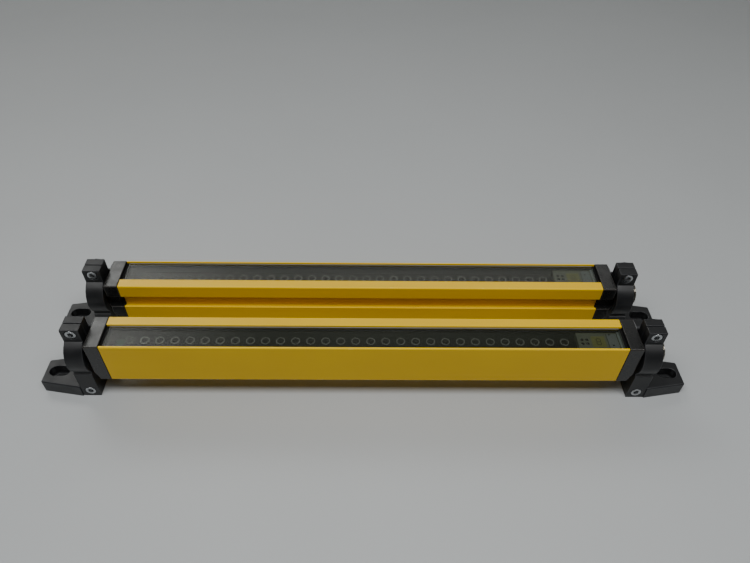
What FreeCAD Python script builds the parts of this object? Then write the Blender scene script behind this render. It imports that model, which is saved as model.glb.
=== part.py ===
"""Safety light curtain: a sender bar and a receiver bar, each held at both ends by a swivel bracket.

All sizes are in millimetres. +X runs along the bars, +Y away from the viewer, +Z up, and the feet
stand on Z = 0. Every piece of a bar is drawn about the bar's own long axis, with its windowed face
up and its grooved side towards +Y, and is then placed. The receiver is the mirror image of the
sender across its length, so that both status displays and both sockets are at the +X ends.
"""
import FreeCAD, Part
import math
import os

os.makedirs("parts", exist_ok=True)
Vector = FreeCAD.Vector

# Layout of the pair
bar_spacing = 82.5
row_shift = 4.5
axis_height = 53.5

# Extruded housing
bar_length = 518.0
section_width = 40.5
section_height = 51.5
corner_chamfer = 0.9
side_wall = 2.6
floor_wall = 2.4
lip_width = 2.0
strip_width = 11.1
groove_from_top = 15.7
groove_mouth = 15.3
groove_depth = 6.2
groove_lip = 2.4
groove_undercut = 1.8
groove_wall = 2.4
ledge_width = 2.0
ledge_thickness = 2.2
guide_reach = 1.8
guide_thickness = 1.3

# Screw ports of the housing and the screws of the caps
port_radius = 1.5
port_boss = 3.4
port_inset = 4.75
port_rise_plain = 13.0
port_rise_groove = 17.0
port_drop = 15.25
cap_screw_head_radius = 3.1
cap_screw_head_height = 2.6
cap_screw_reach = 9.0
cap_screw_recess = 7.6
counterbore_clearance = 0.3

# Window
window_recess = 2.4
window_thickness = 3.0
window_clearance = 0.1
window_end_strip = 2.8
seal_thickness = 1.0
seal_end_bar = 5.0

# Optics
display_zone = 54.0
plain_end_zone = 29.0
lens_pitch = 15.0
lens_radius = 4.5
lens_bulge = 1.3
lens_crown_radius = 2.4
lens_plate_thickness = 1.4
lens_block_width = 11.8
lens_block_overhang = 5.5
lens_block_end_gap = 1.5
lens_drop = 2.8
aperture_height = 14.0
tunnel_width = 7.6
diode_length = 3.4
diode_width = 3.0
diode_height = 2.0

# Boards
board_thickness = 1.6
board_end_gap = 0.5
board_side_gap = 0.3
chip_count = 5
chip_width = 10.0
chip_height = 1.6
chip_pitch = 78.0
capacitor_radius = 4.0
capacitor_height = 9.0
capacitor_pitch = 12.0
capacitor_inset = 19.5

# Status display
panel_length = 42.0
panel_thickness = 1.0
panel_side_gap = 0.25
panel_drop = 0.2
panel_skirt = 5.0
panel_end_gap = 1.6
digit_length = 8.0
digit_width = 12.0
digit_height = 5.4
digit_from_panel_end = 17.0
digit_from_board_edge = 1.3
led_radius = 1.5
led_clearance = 0.15
led_pitch = 5.0
led_from_panel_end = 7.0
spacer_width = 5.0

# End caps
gasket_thickness = 0.8
gasket_inset = 0.4
cap_length = 17.0
cap_top_chamfer = 3.6
cap_top_chamfer_height = 4.5
cap_side_chamfer = 3.6
cap_low_chamfer = 7.2
cap_low_chamfer_height = 22.0
spigot_depth = 4.0
spigot_wall = 2.0
spigot_clearance = 0.25
neck_radius = 16.5
neck_proud = 0.3
lead_bore_radius = 9.5

# Socket at the +X end of each bar
shell_radius = 13.0
shell_body_radius = 12.0
shell_bore_radius = 10.4
shell_proud = 7.0
shell_seated = 10.0
shell_clearance = 0.05
insert_thickness = 5.0
socket_depth = 9.5
pin_radius = 0.7
pin_reach = 7.5
pin_circle_radius = 6.0
pin_count = 8
ribbon_width = 10.0
ribbon_thickness = 1.0

# Swivel brackets
bracket_gap = 0.6
ring_width = 18.6
ring_radius = 24.0
ring_facets = 8
ring_clearance = 0.05
clamp_gap = 0.8
lug_depth = 10.0
lug_rise = 38.0
lug_chamfer = 0.8
block_depth = 20.5
crease_drop = 18.2
ledge_fillet = 2.4
ledge_facets = 3
flange_reach = 42.6
flange_height = 15.4
flange_root_width = 43.0
flange_tip_width = 29.0
flange_corner_chamfer = 1.2
flange_chamfer = 1.2
slot_from_ring = 27.0
slot_radius = 3.5
slot_length = 16.0
pocket_radius = 6.2
pocket_length = 21.4
pocket_depth = 10.4

# Clamp screws and nuts
screw_radius = 2.95
screw_hole_radius = 3.3
screw_head_radius = 5.5
screw_head_height = 6.0
screw_socket = 5.0
screw_socket_depth = 3.0
head_sunk = 0.2
upper_screw_rise = 31.3
lower_screw_height = 8.0
nut_width = 10.0
nut_thickness = 5.0
nut_bore_clearance = 0.05
nut_pocket_clearance = 0.1
nut_sunk = 0.3

# Small round features are drawn as prisms with few flat sides, which keeps the model light
small_sides = 6
head_sides = 10
bore_sides = 10

# Cutting tools run past a face by the overlap, and edges are picked out to within the tolerance
overlap = 1.0
tolerance = 0.001

# Places worked out from the sizes above
half_length = bar_length / 2
half_width = section_width / 2
half_height = section_height / 2
window_y0 = -half_width + lip_width
window_y1 = half_width - strip_width
window_mid_y = (window_y0 + window_y1) / 2
window_top = half_height - window_recess
seal_top = window_top - window_thickness
seal_seat = seal_top - seal_thickness
chamber_top = seal_seat - ledge_thickness
chamber_bottom = -half_height + floor_wall
chamber_y0 = -half_width + side_wall
groove_floor = half_width - groove_depth
chamber_y1 = groove_floor - groove_wall
groove_top = half_height - groove_from_top
groove_bottom = groove_top - groove_mouth
lens_plate_top = seal_seat - lens_drop
aperture_top = lens_plate_top - lens_plate_thickness
board_top = aperture_top - aperture_height
board_bottom = board_top - board_thickness
board_end = half_length - spigot_depth - board_end_gap
cap_start = half_length + gasket_thickness
cap_end = cap_start + cap_length
ring_start = cap_end + bracket_gap
ring_end = ring_start + ring_width
neck_end = ring_end + neck_proud
port_y = half_width - port_inset
cap_screw_seat = cap_end - cap_screw_recess
lens_field = bar_length - display_zone - plain_end_zone
lens_count = 1 + int(lens_field / lens_pitch + tolerance)
last_lens_x = half_length - display_zone
lens_places = [last_lens_x - index * lens_pitch for index in range(lens_count)]
panel_x1 = half_length - window_end_strip - panel_end_gap
panel_x0 = panel_x1 - panel_length
panel_y0 = window_y0 + ledge_width + panel_side_gap
panel_y1 = window_y1 - ledge_width - panel_side_gap
panel_top = seal_seat - panel_drop
panel_bottom = panel_top - panel_thickness
display_board_top = panel_bottom - panel_skirt
display_board_bottom = display_board_top - board_thickness
skirt_y0 = max(panel_y0, -port_y + port_boss + panel_side_gap)
digit_x = panel_x0 + digit_from_panel_end
digit_y = skirt_y0 + digit_from_board_edge
led_x = panel_x0 + led_from_panel_end
screw_x = ring_start + ring_width / 2
screw_rises = (upper_screw_rise, lower_screw_height - axis_height)
seat_depths = (lug_depth, block_depth)
ports = [
    (-port_y, port_rise_plain),
    (port_y, port_rise_groove),
    (-port_y, -port_drop),
    (port_y, -port_drop),
]
cap_screw_places = [ports[0], ports[3]]


def block(x0, x1, y0, y1, z0, z1):
    """Box between two corners."""
    return Part.makeBox(x1 - x0, y1 - y0, z1 - z0, Vector(x0, y0, z0))


def rod_x(radius, x0, x1, y=0.0, z=0.0):
    """Cylinder along X."""
    return Part.makeCylinder(radius, x1 - x0, Vector(x0, y, z), Vector(1, 0, 0))


def rod_z(radius, z0, z1, x, y):
    """Cylinder along Z."""
    return Part.makeCylinder(radius, z1 - z0, Vector(x, y, z0), Vector(0, 0, 1))


def corners(radius, sides):
    """Corners of a regular polygon with flats at the given radius, as pairs across and up."""
    reach = radius / math.cos(math.pi / sides)
    angles = [(index + 0.5) * 2 * math.pi / sides for index in range(sides)]
    return [(reach * math.cos(angle), reach * math.sin(angle)) for angle in angles]


def extruded(points, direction):
    """Solid swept by a flat outline, given by its corners, along a vector."""
    wire = Part.makePolygon(points + [points[0]])
    return Part.Face(wire).extrude(direction)


def prism_x(radius, sides, x0, x1, y=0.0, z=0.0):
    """Regular prism along X with its flats at the given radius."""
    points = [Vector(x0, y + across, z + up) for across, up in corners(radius, sides)]
    return extruded(points, Vector(x1 - x0, 0, 0))


def prism_y(radius, sides, y0, y1, x, z):
    """Regular prism along Y with its flats at the given radius."""
    points = [Vector(x + across, y0, z + up) for across, up in corners(radius, sides)]
    return extruded(points, Vector(0, y1 - y0, 0))


def prism_z(radius, sides, z0, z1, x, y):
    """Regular prism along Z with its flats at the given radius."""
    points = [Vector(x + across, y + up, z0) for across, up in corners(radius, sides)]
    return extruded(points, Vector(0, 0, z1 - z0))


def crown(base_radius, top_radius, sides, z0, z1, x, y):
    """Regular pyramid along Z with its top cut off."""
    low = [Vector(x + across, y + up, z0) for across, up in corners(base_radius, sides)]
    high = [Vector(x + across, y + up, z1) for across, up in corners(top_radius, sides)]
    outlines = [low, high]
    for index in range(sides):
        after = (index + 1) % sides
        outlines.append([low[index], low[after], high[after], high[index]])
    faces = [Part.Face(Part.makePolygon(points + [points[0]])) for points in outlines]
    return Part.Solid(Part.Shell(faces))


def obround(radius, length, z0, z1, x, y):
    """Upright slot shape with round ends, long in X."""
    run = length / 2 - radius
    body = block(x - run, x + run, y - radius, y + radius, z0, z1)
    ends = [rod_z(radius, z0, z1, x - run, y), rod_z(radius, z0, z1, x + run, y)]
    return body.fuse(ends)


def faceted_obround(radius, length, z0, z1, x, y):
    """Upright slot shape with ends of flat sides, long in X."""
    run = length / 2 - radius
    body = block(x - run, x + run, y - radius, y + radius, z0, z1)
    ends = [prism_z(radius, head_sides, z0, z1, end_x, y) for end_x in (x - run, x + run)]
    return body.fuse(ends)


def bar_outline(x0, x1, inset):
    """Outer shape of the bar's section between two places along X, drawn in by an inset."""
    y1 = half_width - inset
    z1 = half_height - inset
    shape = block(x0, x1, -y1, y1, -z1, z1)
    long_edges = [e for e in shape.Edges if abs(e.BoundBox.XLength - (x1 - x0)) < tolerance]
    return shape.makeChamfer(corner_chamfer, long_edges)


def both_ways(shape):
    """A shape and its mirror image at the other end of the bar."""
    return [shape, shape.mirror(Vector(0, 0, 0), Vector(1, 0, 0))]


def chamber(x0, x1):
    """Inside space of the housing, less the screw bosses and the guides that hold the board."""
    space = block(x0, x1, chamber_y0, chamber_y1, chamber_bottom, chamber_top)
    boss_y = -port_y + port_boss
    upper_boss = block(x0, x1, chamber_y0, boss_y, port_rise_plain - port_boss, chamber_top)
    lower_boss = block(x0, x1, chamber_y0, boss_y, -port_drop - port_boss, -port_drop + port_boss)
    kept = [upper_boss, lower_boss]
    for low in (board_top, board_bottom - guide_thickness):
        kept.append(block(x0, x1, chamber_y0, chamber_y0 + guide_reach, low, low + guide_thickness))
        kept.append(block(x0, x1, chamber_y1 - guide_reach, chamber_y1, low, low + guide_thickness))
    return space.cut(kept)


def side_groove(x0, x1):
    """Mounting groove in one side, wider behind its lips than at its mouth."""
    mouth = block(x0, x1, groove_floor, half_width + overlap, groove_bottom, groove_top)
    behind_lips = block(
        x0, x1, groove_floor, half_width - groove_lip,
        groove_bottom - groove_undercut, groove_top + groove_undercut,
    )
    return mouth.fuse(behind_lips)


def housing():
    """Extruded profile with its window channel, mounting groove, chamber and screw ports."""
    x0 = -half_length
    x1 = half_length
    outside = (x0 - overlap, x1 + overlap)
    window_channel = block(*outside, window_y0, window_y1, seal_seat, half_height + overlap)
    opening = block(
        *outside, window_y0 + ledge_width, window_y1 - ledge_width,
        chamber_top - overlap, seal_seat + overlap,
    )
    cuts = [window_channel, opening, chamber(*outside), side_groove(*outside)]
    cuts += [prism_x(port_radius, small_sides, *outside, y, z) for y, z in ports]
    return bar_outline(x0, x1, 0.0).cut(cuts)


def window():
    """Tinted front pane that lies in the window channel."""
    end = half_length - window_end_strip
    return block(
        -end, end, window_y0 + window_clearance, window_y1 - window_clearance, seal_top, window_top
    )


def window_end_strips():
    """Rubber strips that fill the window channel between the pane and the gaskets."""
    strip = block(
        half_length - window_end_strip, half_length,
        window_y0 + window_clearance, window_y1 - window_clearance, seal_top, window_top,
    )
    return Part.makeCompound(both_ways(strip))


def window_seal():
    """Flat rubber frame between the pane and the ledges of the window channel."""
    frame = block(
        -half_length, half_length,
        window_y0 + window_clearance, window_y1 - window_clearance, seal_seat, seal_top,
    )
    inner_x = half_length - seal_end_bar
    hole = block(
        -inner_x, inner_x, window_y0 + ledge_width, window_y1 - ledge_width,
        seal_seat - overlap, seal_top + overlap,
    )
    return frame.cut(hole)


def lens_block_span():
    """Both ends of the lens plate and of the aperture body along X."""
    return (
        lens_places[-1] - lens_radius - lens_block_overhang,
        lens_places[0] + lens_radius + lens_block_end_gap,
    )


def lens_plate():
    """Clear moulded strip with one round lens over each beam."""
    x0, x1 = lens_block_span()
    plate = block(
        x0, x1, window_mid_y - lens_block_width / 2, window_mid_y + lens_block_width / 2,
        aperture_top, lens_plate_top,
    )
    lenses = []
    for x in lens_places:
        lenses.append(crown(
            lens_radius, lens_crown_radius, small_sides,
            lens_plate_top, lens_plate_top + lens_bulge, x, window_mid_y,
        ))
    return plate.fuse(lenses).removeSplitter()


def aperture_body():
    """Black body under the lenses with one square light tunnel for each beam."""
    x0, x1 = lens_block_span()
    body = block(
        x0, x1, window_mid_y - lens_block_width / 2, window_mid_y + lens_block_width / 2,
        board_top, aperture_top,
    )
    half = tunnel_width / 2
    tunnels = []
    for x in lens_places:
        tunnels.append(block(
            x - half, x + half, window_mid_y - half, window_mid_y + half,
            board_top - overlap, aperture_top + overlap,
        ))
    return body.cut(tunnels)


def diodes():
    """One infrared diode on the board under each lens."""
    solids = []
    for x in lens_places:
        solids.append(block(
            x - diode_length / 2, x + diode_length / 2,
            window_mid_y - diode_width / 2, window_mid_y + diode_width / 2,
            board_top, board_top + diode_height,
        ))
    return Part.makeCompound(solids)


def main_board():
    """Long circuit board that slides in the guides of the housing."""
    return block(
        -board_end, board_end, chamber_y0 + board_side_gap, chamber_y1 - board_side_gap,
        board_bottom, board_top,
    )


def board_components():
    """Flat chips and two round capacitors under the main board."""
    mid_y = (chamber_y0 + chamber_y1) / 2
    solids = []
    for index in range(chip_count):
        x = (index - (chip_count - 1) / 2) * chip_pitch
        solids.append(block(
            x - chip_width / 2, x + chip_width / 2, mid_y - chip_width / 2, mid_y + chip_width / 2,
            board_bottom - chip_height, board_bottom,
        ))
    for side in (-1, 1):
        x = last_lens_x - capacitor_inset + side * capacitor_pitch / 2
        foot_z = board_bottom - capacitor_height
        solids.append(prism_z(capacitor_radius, small_sides, foot_z, board_bottom, x, mid_y))
    return Part.makeCompound(solids)


def led_places():
    """Centres of the four status lights."""
    step = led_pitch / 2
    corners = ((-1, -1), (-1, 1), (1, -1), (1, 1))
    return [(led_x + i * step, window_mid_y + j * step) for i, j in corners]


def digit_box(grow, z0, z1):
    """Outline of the seven-segment digit, grown by a clearance."""
    return block(
        digit_x - grow, digit_x + digit_length + grow,
        digit_y - grow, digit_y + digit_width + grow, z0, z1,
    )


def display_panel():
    """Pale mask under the window, with a skirt at each end that stands on the display board."""
    plate = block(panel_x0, panel_x1, panel_y0, panel_y1, panel_bottom, panel_top)
    skirts = []
    for x in (panel_x0, panel_x1 - panel_thickness):
        skirts.append(block(
            x, x + panel_thickness, skirt_y0, panel_y1, display_board_top, panel_bottom
        ))
    holes = [digit_box(led_clearance, panel_bottom - overlap, panel_top + overlap)]
    for x, y in led_places():
        holes.append(prism_z(
            led_radius + led_clearance, small_sides, panel_bottom - overlap, panel_top + overlap, x, y
        ))
    return plate.fuse(skirts).cut(holes)


def display_board():
    """Small board that carries the digit and the status lights."""
    return block(
        panel_x0, panel_x1, skirt_y0, panel_y1, display_board_bottom, display_board_top
    )


def display_spacers():
    """Two feet that carry the display board on the main board."""
    solids = []
    for x in (panel_x0, panel_x1 - spacer_width):
        solids.append(block(
            x, x + spacer_width, window_mid_y - spacer_width, window_mid_y + spacer_width,
            board_top, display_board_bottom,
        ))
    return Part.makeCompound(solids)


def digit_display():
    """Seven-segment digit on the display board."""
    return digit_box(0.0, display_board_top, display_board_top + digit_height)


def status_leds():
    """Four status lights that reach up into the panel."""
    solids = []
    for x, y in led_places():
        solids.append(prism_z(led_radius, small_sides, display_board_top, panel_top, x, y))
    return Part.makeCompound(solids)


def spigot_block(grow, x0, x1):
    """Block that fits in the chamber past its bosses and guides, grown by a given amount."""
    gap = spigot_clearance - grow
    return block(
        x0, x1, -port_y + port_boss + gap, chamber_y1 - guide_reach - gap,
        chamber_bottom + gap, chamber_top - gap,
    )


def gasket():
    """Flat gasket between the housing and the +X cap."""
    outside = (half_length - overlap, cap_start + overlap)
    plate = bar_outline(half_length, cap_start, gasket_inset)
    mouth = block(
        *outside, groove_floor, half_width + overlap, groove_bottom, groove_top
    )
    holes = [spigot_block(counterbore_clearance, *outside), mouth]
    screw_hole = port_radius + counterbore_clearance
    holes += [prism_x(screw_hole, small_sides, *outside, y, z) for y, z in cap_screw_places]
    return plate.cut(holes)


def end_cap(with_socket):
    """Moulded cap at the +X end, with the round neck that the bracket grips."""
    body = bar_outline(cap_start, cap_end, 0.0)
    deep = Vector(0, section_width + 2 * overlap, 0)
    front = -half_width - overlap
    top_corner = extruded([
        Vector(cap_end - cap_top_chamfer, front, half_height),
        Vector(cap_end, front, half_height - cap_top_chamfer_height),
        Vector(cap_end, front, half_height + overlap),
        Vector(cap_end - cap_top_chamfer, front, half_height + overlap),
    ], deep)
    low_corner = extruded([
        Vector(cap_end - cap_low_chamfer, front, -half_height),
        Vector(cap_end, front, -half_height + cap_low_chamfer_height),
        Vector(cap_end, front, -half_height - overlap),
        Vector(cap_end - cap_low_chamfer, front, -half_height - overlap),
    ], deep)
    side_corner = extruded([
        Vector(cap_end - cap_side_chamfer, -half_width, -half_height - overlap),
        Vector(cap_end, cap_side_chamfer - half_width, -half_height - overlap),
        Vector(cap_end, front, -half_height - overlap),
        Vector(cap_end - cap_side_chamfer, front, -half_height - overlap),
    ], Vector(0, 0, section_height + 2 * overlap))
    other_side = side_corner.mirror(Vector(0, 0, 0), Vector(0, 1, 0))
    bevelled = body.cut([top_corner, low_corner, side_corner, other_side])
    neck = rod_x(neck_radius, cap_start, neck_end)
    spigot = spigot_block(0.0, half_length - spigot_depth, cap_start + overlap)
    solid = bevelled.fuse([neck, spigot])
    mouth = block(
        cap_start - overlap, cap_end + overlap, groove_floor, half_width + overlap,
        groove_bottom, groove_top,
    )
    hollow = spigot_block(-spigot_wall, half_length - spigot_depth - overlap, cap_start)
    cuts = [mouth, hollow]
    screw_hole = port_radius + counterbore_clearance
    head_bore = cap_screw_head_radius + counterbore_clearance
    for y, z in cap_screw_places:
        cuts.append(prism_x(screw_hole, small_sides, cap_start - overlap, cap_end, y, z))
        cuts.append(prism_x(head_bore, small_sides, cap_screw_seat, cap_end + overlap, y, z))
    if with_socket:
        seat = ring_end - shell_seated
        shell_bore = shell_body_radius + shell_clearance
        cuts.append(prism_x(shell_bore, bore_sides, seat, neck_end + overlap))
        cuts.append(prism_x(lead_bore_radius, bore_sides, cap_start - overlap, seat + overlap))
    return solid.cut(cuts)


def cap_screws():
    """Two screws at each end, in opposite corners, that hold the caps to the housing."""
    solids = []
    for y, z in cap_screw_places:
        tip = half_length - cap_screw_reach
        head_top = cap_screw_seat + cap_screw_head_height
        shank = prism_x(port_radius, small_sides, tip, cap_screw_seat, y, z)
        head = prism_x(cap_screw_head_radius, small_sides, cap_screw_seat, head_top, y, z)
        solids += both_ways(shank.fuse(head))
    return Part.makeCompound(solids)


def socket_shell():
    """Round metal shell of the socket, seated in the neck, with a collar against the neck's end."""
    start = ring_end - shell_seated
    end = ring_end + shell_proud
    collar = rod_x(shell_radius, neck_end, end)
    body = prism_x(shell_body_radius, bore_sides, start, neck_end + overlap)
    bore = prism_x(shell_bore_radius, bore_sides, start - overlap, end + overlap)
    return collar.fuse(body).cut(bore)


def socket_insert():
    """Insulating disc that closes the shell behind the plug's space."""
    end = ring_end + shell_proud - socket_depth
    return prism_x(shell_bore_radius, bore_sides, end - insert_thickness, end)


def socket_pins():
    """Ring of contact pins that stand on the insert."""
    start = ring_end + shell_proud - socket_depth
    solids = []
    for index in range(pin_count):
        angle = 2 * math.pi * index / pin_count
        y = pin_circle_radius * math.cos(angle)
        z = pin_circle_radius * math.sin(angle)
        solids.append(prism_x(pin_radius, 6, start, start + pin_reach, y, z))
    return Part.makeCompound(solids)


def ribbon():
    """Flat lead from the main board's end to the back of the socket insert."""
    end = ring_end + shell_proud - socket_depth - insert_thickness
    mid_y = (chamber_y0 + chamber_y1) / 2
    first = board_end - ribbon_width
    on_board = block(
        first, cap_start, mid_y - ribbon_width / 2, mid_y + ribbon_width / 2,
        board_bottom - ribbon_thickness, board_bottom,
    )
    in_neck = block(
        cap_start, end, mid_y - ribbon_width / 2, mid_y + ribbon_width / 2,
        board_bottom - ribbon_thickness, board_bottom,
    )
    return on_board.fuse(in_neck).removeSplitter()


def arc_points(y, z, radius, start, end, facets):
    """Points along an arc about a centre, with a straight facet between each two."""
    angles = [start + (end - start) * index / facets for index in range(facets + 1)]
    return [(y + radius * math.cos(angle), z + radius * math.sin(angle)) for angle in angles]


def bracket_half(side):
    """Front (-1) or rear (+1) half of the +X clamp, from the lug's top down to the foot."""
    split = side * clamp_gap / 2
    floor = -axis_height
    lug = side * lug_depth
    deep = side * block_depth
    lug_foot = math.sqrt(ring_radius ** 2 - lug_depth ** 2)
    crease = math.hypot(block_depth, crease_drop)
    reach = ring_radius + ledge_fillet
    lean = (reach ** 2 + crease ** 2 - ledge_fillet ** 2) / (2 * reach * crease)
    ledge_angle = math.acos(lean) - math.atan2(crease_drop, block_depth)
    centre_y = reach * math.cos(ledge_angle)
    centre_z = reach * math.sin(ledge_angle)
    lug_angle = math.atan2(lug_foot, lug_depth)
    ring = arc_points(0.0, 0.0, ring_radius, lug_angle, ledge_angle, ring_facets)
    crease_angle = math.atan2(-crease_drop - centre_z, block_depth - centre_y) + 2 * math.pi
    ledge = arc_points(
        centre_y, centre_z, ledge_fillet, ledge_angle + math.pi, crease_angle, ledge_facets
    )
    curve = [Vector(ring_start, side * y, z) for y, z in ring + ledge[1:]]
    outline = [
        Vector(ring_start, split, floor),
        Vector(ring_start, split, lug_rise),
        Vector(ring_start, lug - side * lug_chamfer, lug_rise),
        Vector(ring_start, lug, lug_rise - lug_chamfer),
        *curve,
        Vector(ring_start, deep, floor),
    ]
    half = extruded(outline, Vector(ring_width, 0, 0))
    bore = rod_x(neck_radius + ring_clearance, ring_start - overlap, ring_end + overlap)
    return half.cut(bore)


def strap():
    """Front half of the +X bracket, which the two screws pull against the foot."""
    cuts = []
    for rise, depth in zip(screw_rises, seat_depths):
        seat = -depth + head_sunk + screw_head_height
        front = -depth - overlap
        cuts.append(prism_y(screw_hole_radius, small_sides, front, overlap, screw_x, rise))
        bore = screw_head_radius + counterbore_clearance
        cuts.append(prism_y(bore, head_sides, front, seat, screw_x, rise))
    return bracket_half(-1).cut(cuts)


def flange():
    """Slotted plate of the +X foot, narrower at its tip and bevelled round its top."""
    floor = -axis_height
    tip = ring_end + flange_reach
    plate = extruded([
        Vector(ring_end, -flange_root_width / 2, floor),
        Vector(tip, -flange_tip_width / 2, floor),
        Vector(tip, flange_tip_width / 2, floor),
        Vector(ring_end, flange_root_width / 2, floor),
    ], Vector(0, 0, flange_height))
    upright = [
        e for e in plate.Edges
        if abs(e.BoundBox.ZLength - flange_height) < tolerance and e.BoundBox.XMin > tip - tolerance
    ]
    plate = plate.makeChamfer(flange_corner_chamfer, upright)
    top = floor + flange_height
    rim = [
        e for e in plate.Edges
        if e.BoundBox.ZMin > top - tolerance and e.BoundBox.XMax > ring_end + tolerance
    ]
    plate = plate.makeChamfer(flange_chamfer, rim)
    slot_x = ring_end + slot_from_ring
    through = obround(slot_radius, slot_length, floor - overlap, top + overlap, slot_x, 0)
    pocket_floor = top - pocket_depth
    pocket = faceted_obround(pocket_radius, pocket_length, pocket_floor, top + overlap, slot_x, 0)
    return plate.cut([through, pocket])


def foot():
    """Rear half of the +X bracket, in one piece with its slotted flange."""
    cuts = []
    for rise, depth in zip(screw_rises, seat_depths):
        back = depth + overlap
        cuts.append(prism_y(screw_hole_radius, small_sides, -overlap, back, screw_x, rise))
        pocket = depth - nut_sunk - nut_thickness
        cuts.append(prism_y(nut_width / 2 + nut_pocket_clearance, 6, pocket, back, screw_x, rise))
    return bracket_half(1).cut(cuts).fuse(flange())


def clamp_screw(rise, depth):
    """Socket head screw that pulls a strap against its foot."""
    head_top = -depth + head_sunk
    seat = head_top + screw_head_height
    head = prism_y(screw_head_radius, head_sides, head_top, seat, screw_x, rise)
    shank = prism_y(screw_radius, small_sides, seat, depth - nut_sunk, screw_x, rise)
    socket_floor = head_top + screw_socket_depth
    socket = prism_y(screw_socket / 2, 6, head_top - overlap, socket_floor, screw_x, rise)
    return head.fuse(shank).cut(socket)


def clamp_nut(rise, depth):
    """Hexagon nut sunk in the back of the foot."""
    y0 = depth - nut_sunk - nut_thickness
    nut = prism_y(nut_width / 2, 6, y0, y0 + nut_thickness, screw_x, rise)
    nut_bore = screw_radius + nut_bore_clearance
    bore = prism_y(nut_bore, small_sides, y0 - overlap, depth + overlap, screw_x, rise)
    return nut.cut(bore)


def fasteners(make):
    """The same fastener at both screws of both brackets."""
    solids = []
    for rise, depth in zip(screw_rises, seat_depths):
        solids += both_ways(make(rise, depth))
    return Part.makeCompound(solids)


def bar_pieces():
    """Pieces of one bar, which turn together in the brackets."""
    return {
        "housing": housing(),
        "window": window(),
        "window_end_strips": window_end_strips(),
        "window_seal": window_seal(),
        "lens_plate": lens_plate(),
        "aperture_body": aperture_body(),
        "diodes": diodes(),
        "main_board": main_board(),
        "board_components": board_components(),
        "display_panel": display_panel(),
        "display_board": display_board(),
        "display_spacers": display_spacers(),
        "digit_display": digit_display(),
        "status_leds": status_leds(),
        "cap_gaskets": Part.makeCompound(both_ways(gasket())),
        "plain_cap": both_ways(end_cap(False))[1],
        "socket_cap": end_cap(True),
        "cap_screws": cap_screws(),
        "socket_shell": socket_shell(),
        "socket_insert": socket_insert(),
        "socket_pins": socket_pins(),
        "ribbon": ribbon(),
    }


def bracket_pieces():
    """Pieces of the two brackets that hold one bar."""
    right_foot, left_foot = both_ways(foot())
    right_strap, left_strap = both_ways(strap())
    return {
        "left_foot": left_foot,
        "right_foot": right_foot,
        "left_strap": left_strap,
        "right_strap": right_strap,
        "clamp_screws": fasteners(clamp_screw),
        "clamp_nuts": fasteners(clamp_nut),
    }


def placed(shape, x, y, mirrored):
    """A piece drawn about its bar's axis, mirrored across the bar if asked, and put in its place."""
    if mirrored:
        shape = shape.mirror(Vector(0, 0, 0), Vector(0, 1, 0))
    moved = shape.copy()
    moved.translate(Vector(x, y, axis_height))
    return moved


bar_parts = bar_pieces()
bracket_parts = bracket_pieces()
bars = (
    ("sender", row_shift / 2, -bar_spacing / 2, False),
    ("receiver", -row_shift / 2, bar_spacing / 2, True),
)
for bar_name, bar_x, bar_y, is_mirrored in bars:
    for piece_name, piece in bar_parts.items():
        finished = placed(piece, bar_x, bar_y, is_mirrored)
        finished.exportStep(f"parts/{bar_name}_{piece_name}.step")
    for piece_name, piece in bracket_parts.items():
        finished = placed(piece, bar_x, bar_y, False)
        finished.exportStep(f"parts/{bar_name}_{piece_name}.step")
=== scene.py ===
"""Looks of a pair of safety light curtain bars in their swivel brackets.

Sizes in the classes are millimetres and turn to metres where a mesh is made. +X runs along the bars
to their sockets, +Y from the sender to the receiver, and +Z up through the windows.
"""
import logging
import math
from dataclasses import dataclass
from enum import Enum
from typing import Any, Optional, Sequence

import bmesh
import bpy
import numpy as np
from mathutils import Matrix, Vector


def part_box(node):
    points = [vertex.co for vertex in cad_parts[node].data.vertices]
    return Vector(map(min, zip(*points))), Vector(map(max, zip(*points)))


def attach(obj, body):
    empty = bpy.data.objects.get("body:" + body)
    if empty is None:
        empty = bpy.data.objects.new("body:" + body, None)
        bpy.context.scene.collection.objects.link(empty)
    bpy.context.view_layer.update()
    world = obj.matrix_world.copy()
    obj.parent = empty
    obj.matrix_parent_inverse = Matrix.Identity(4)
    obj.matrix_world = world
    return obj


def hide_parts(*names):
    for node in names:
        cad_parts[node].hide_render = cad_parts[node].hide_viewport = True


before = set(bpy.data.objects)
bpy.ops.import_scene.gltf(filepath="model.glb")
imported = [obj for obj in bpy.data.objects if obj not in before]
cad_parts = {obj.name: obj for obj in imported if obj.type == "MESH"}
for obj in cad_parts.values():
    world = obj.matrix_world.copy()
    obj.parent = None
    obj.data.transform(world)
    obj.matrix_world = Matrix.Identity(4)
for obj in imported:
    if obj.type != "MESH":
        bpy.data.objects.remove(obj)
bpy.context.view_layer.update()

MM = 0.001
LOG = logging.getLogger("light_curtain")

# CAD body of the four swivel brackets.
BRACKETS = "brackets"
# Range of a noise that holds most of it, and the high end of it that shows as scuffs.
MOST_OF_NOISE = (0.3, 0.7)
PEAKS_OF_NOISE = (0.64, 0.72)
# Points and faces.
Mesh = tuple[np.ndarray, list[list[int]]]


class Slot(Enum):
    """Material slots of the record, one for each kind of new piece."""

    PROFILE = "yellow_profile"
    CAP = "cap_plastic"
    BRACKET = "bracket_plastic"
    LENS = "lens_plastic"
    SCREW = "zinc_steel"
    SHELL = "nickel_shell"
    DIGIT = "digit_face"
    LED = "led_lens"
    MASK = "pale_mask"
    SEAL = "black_rubber"
    CONTACT = "gold_pins"


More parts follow.
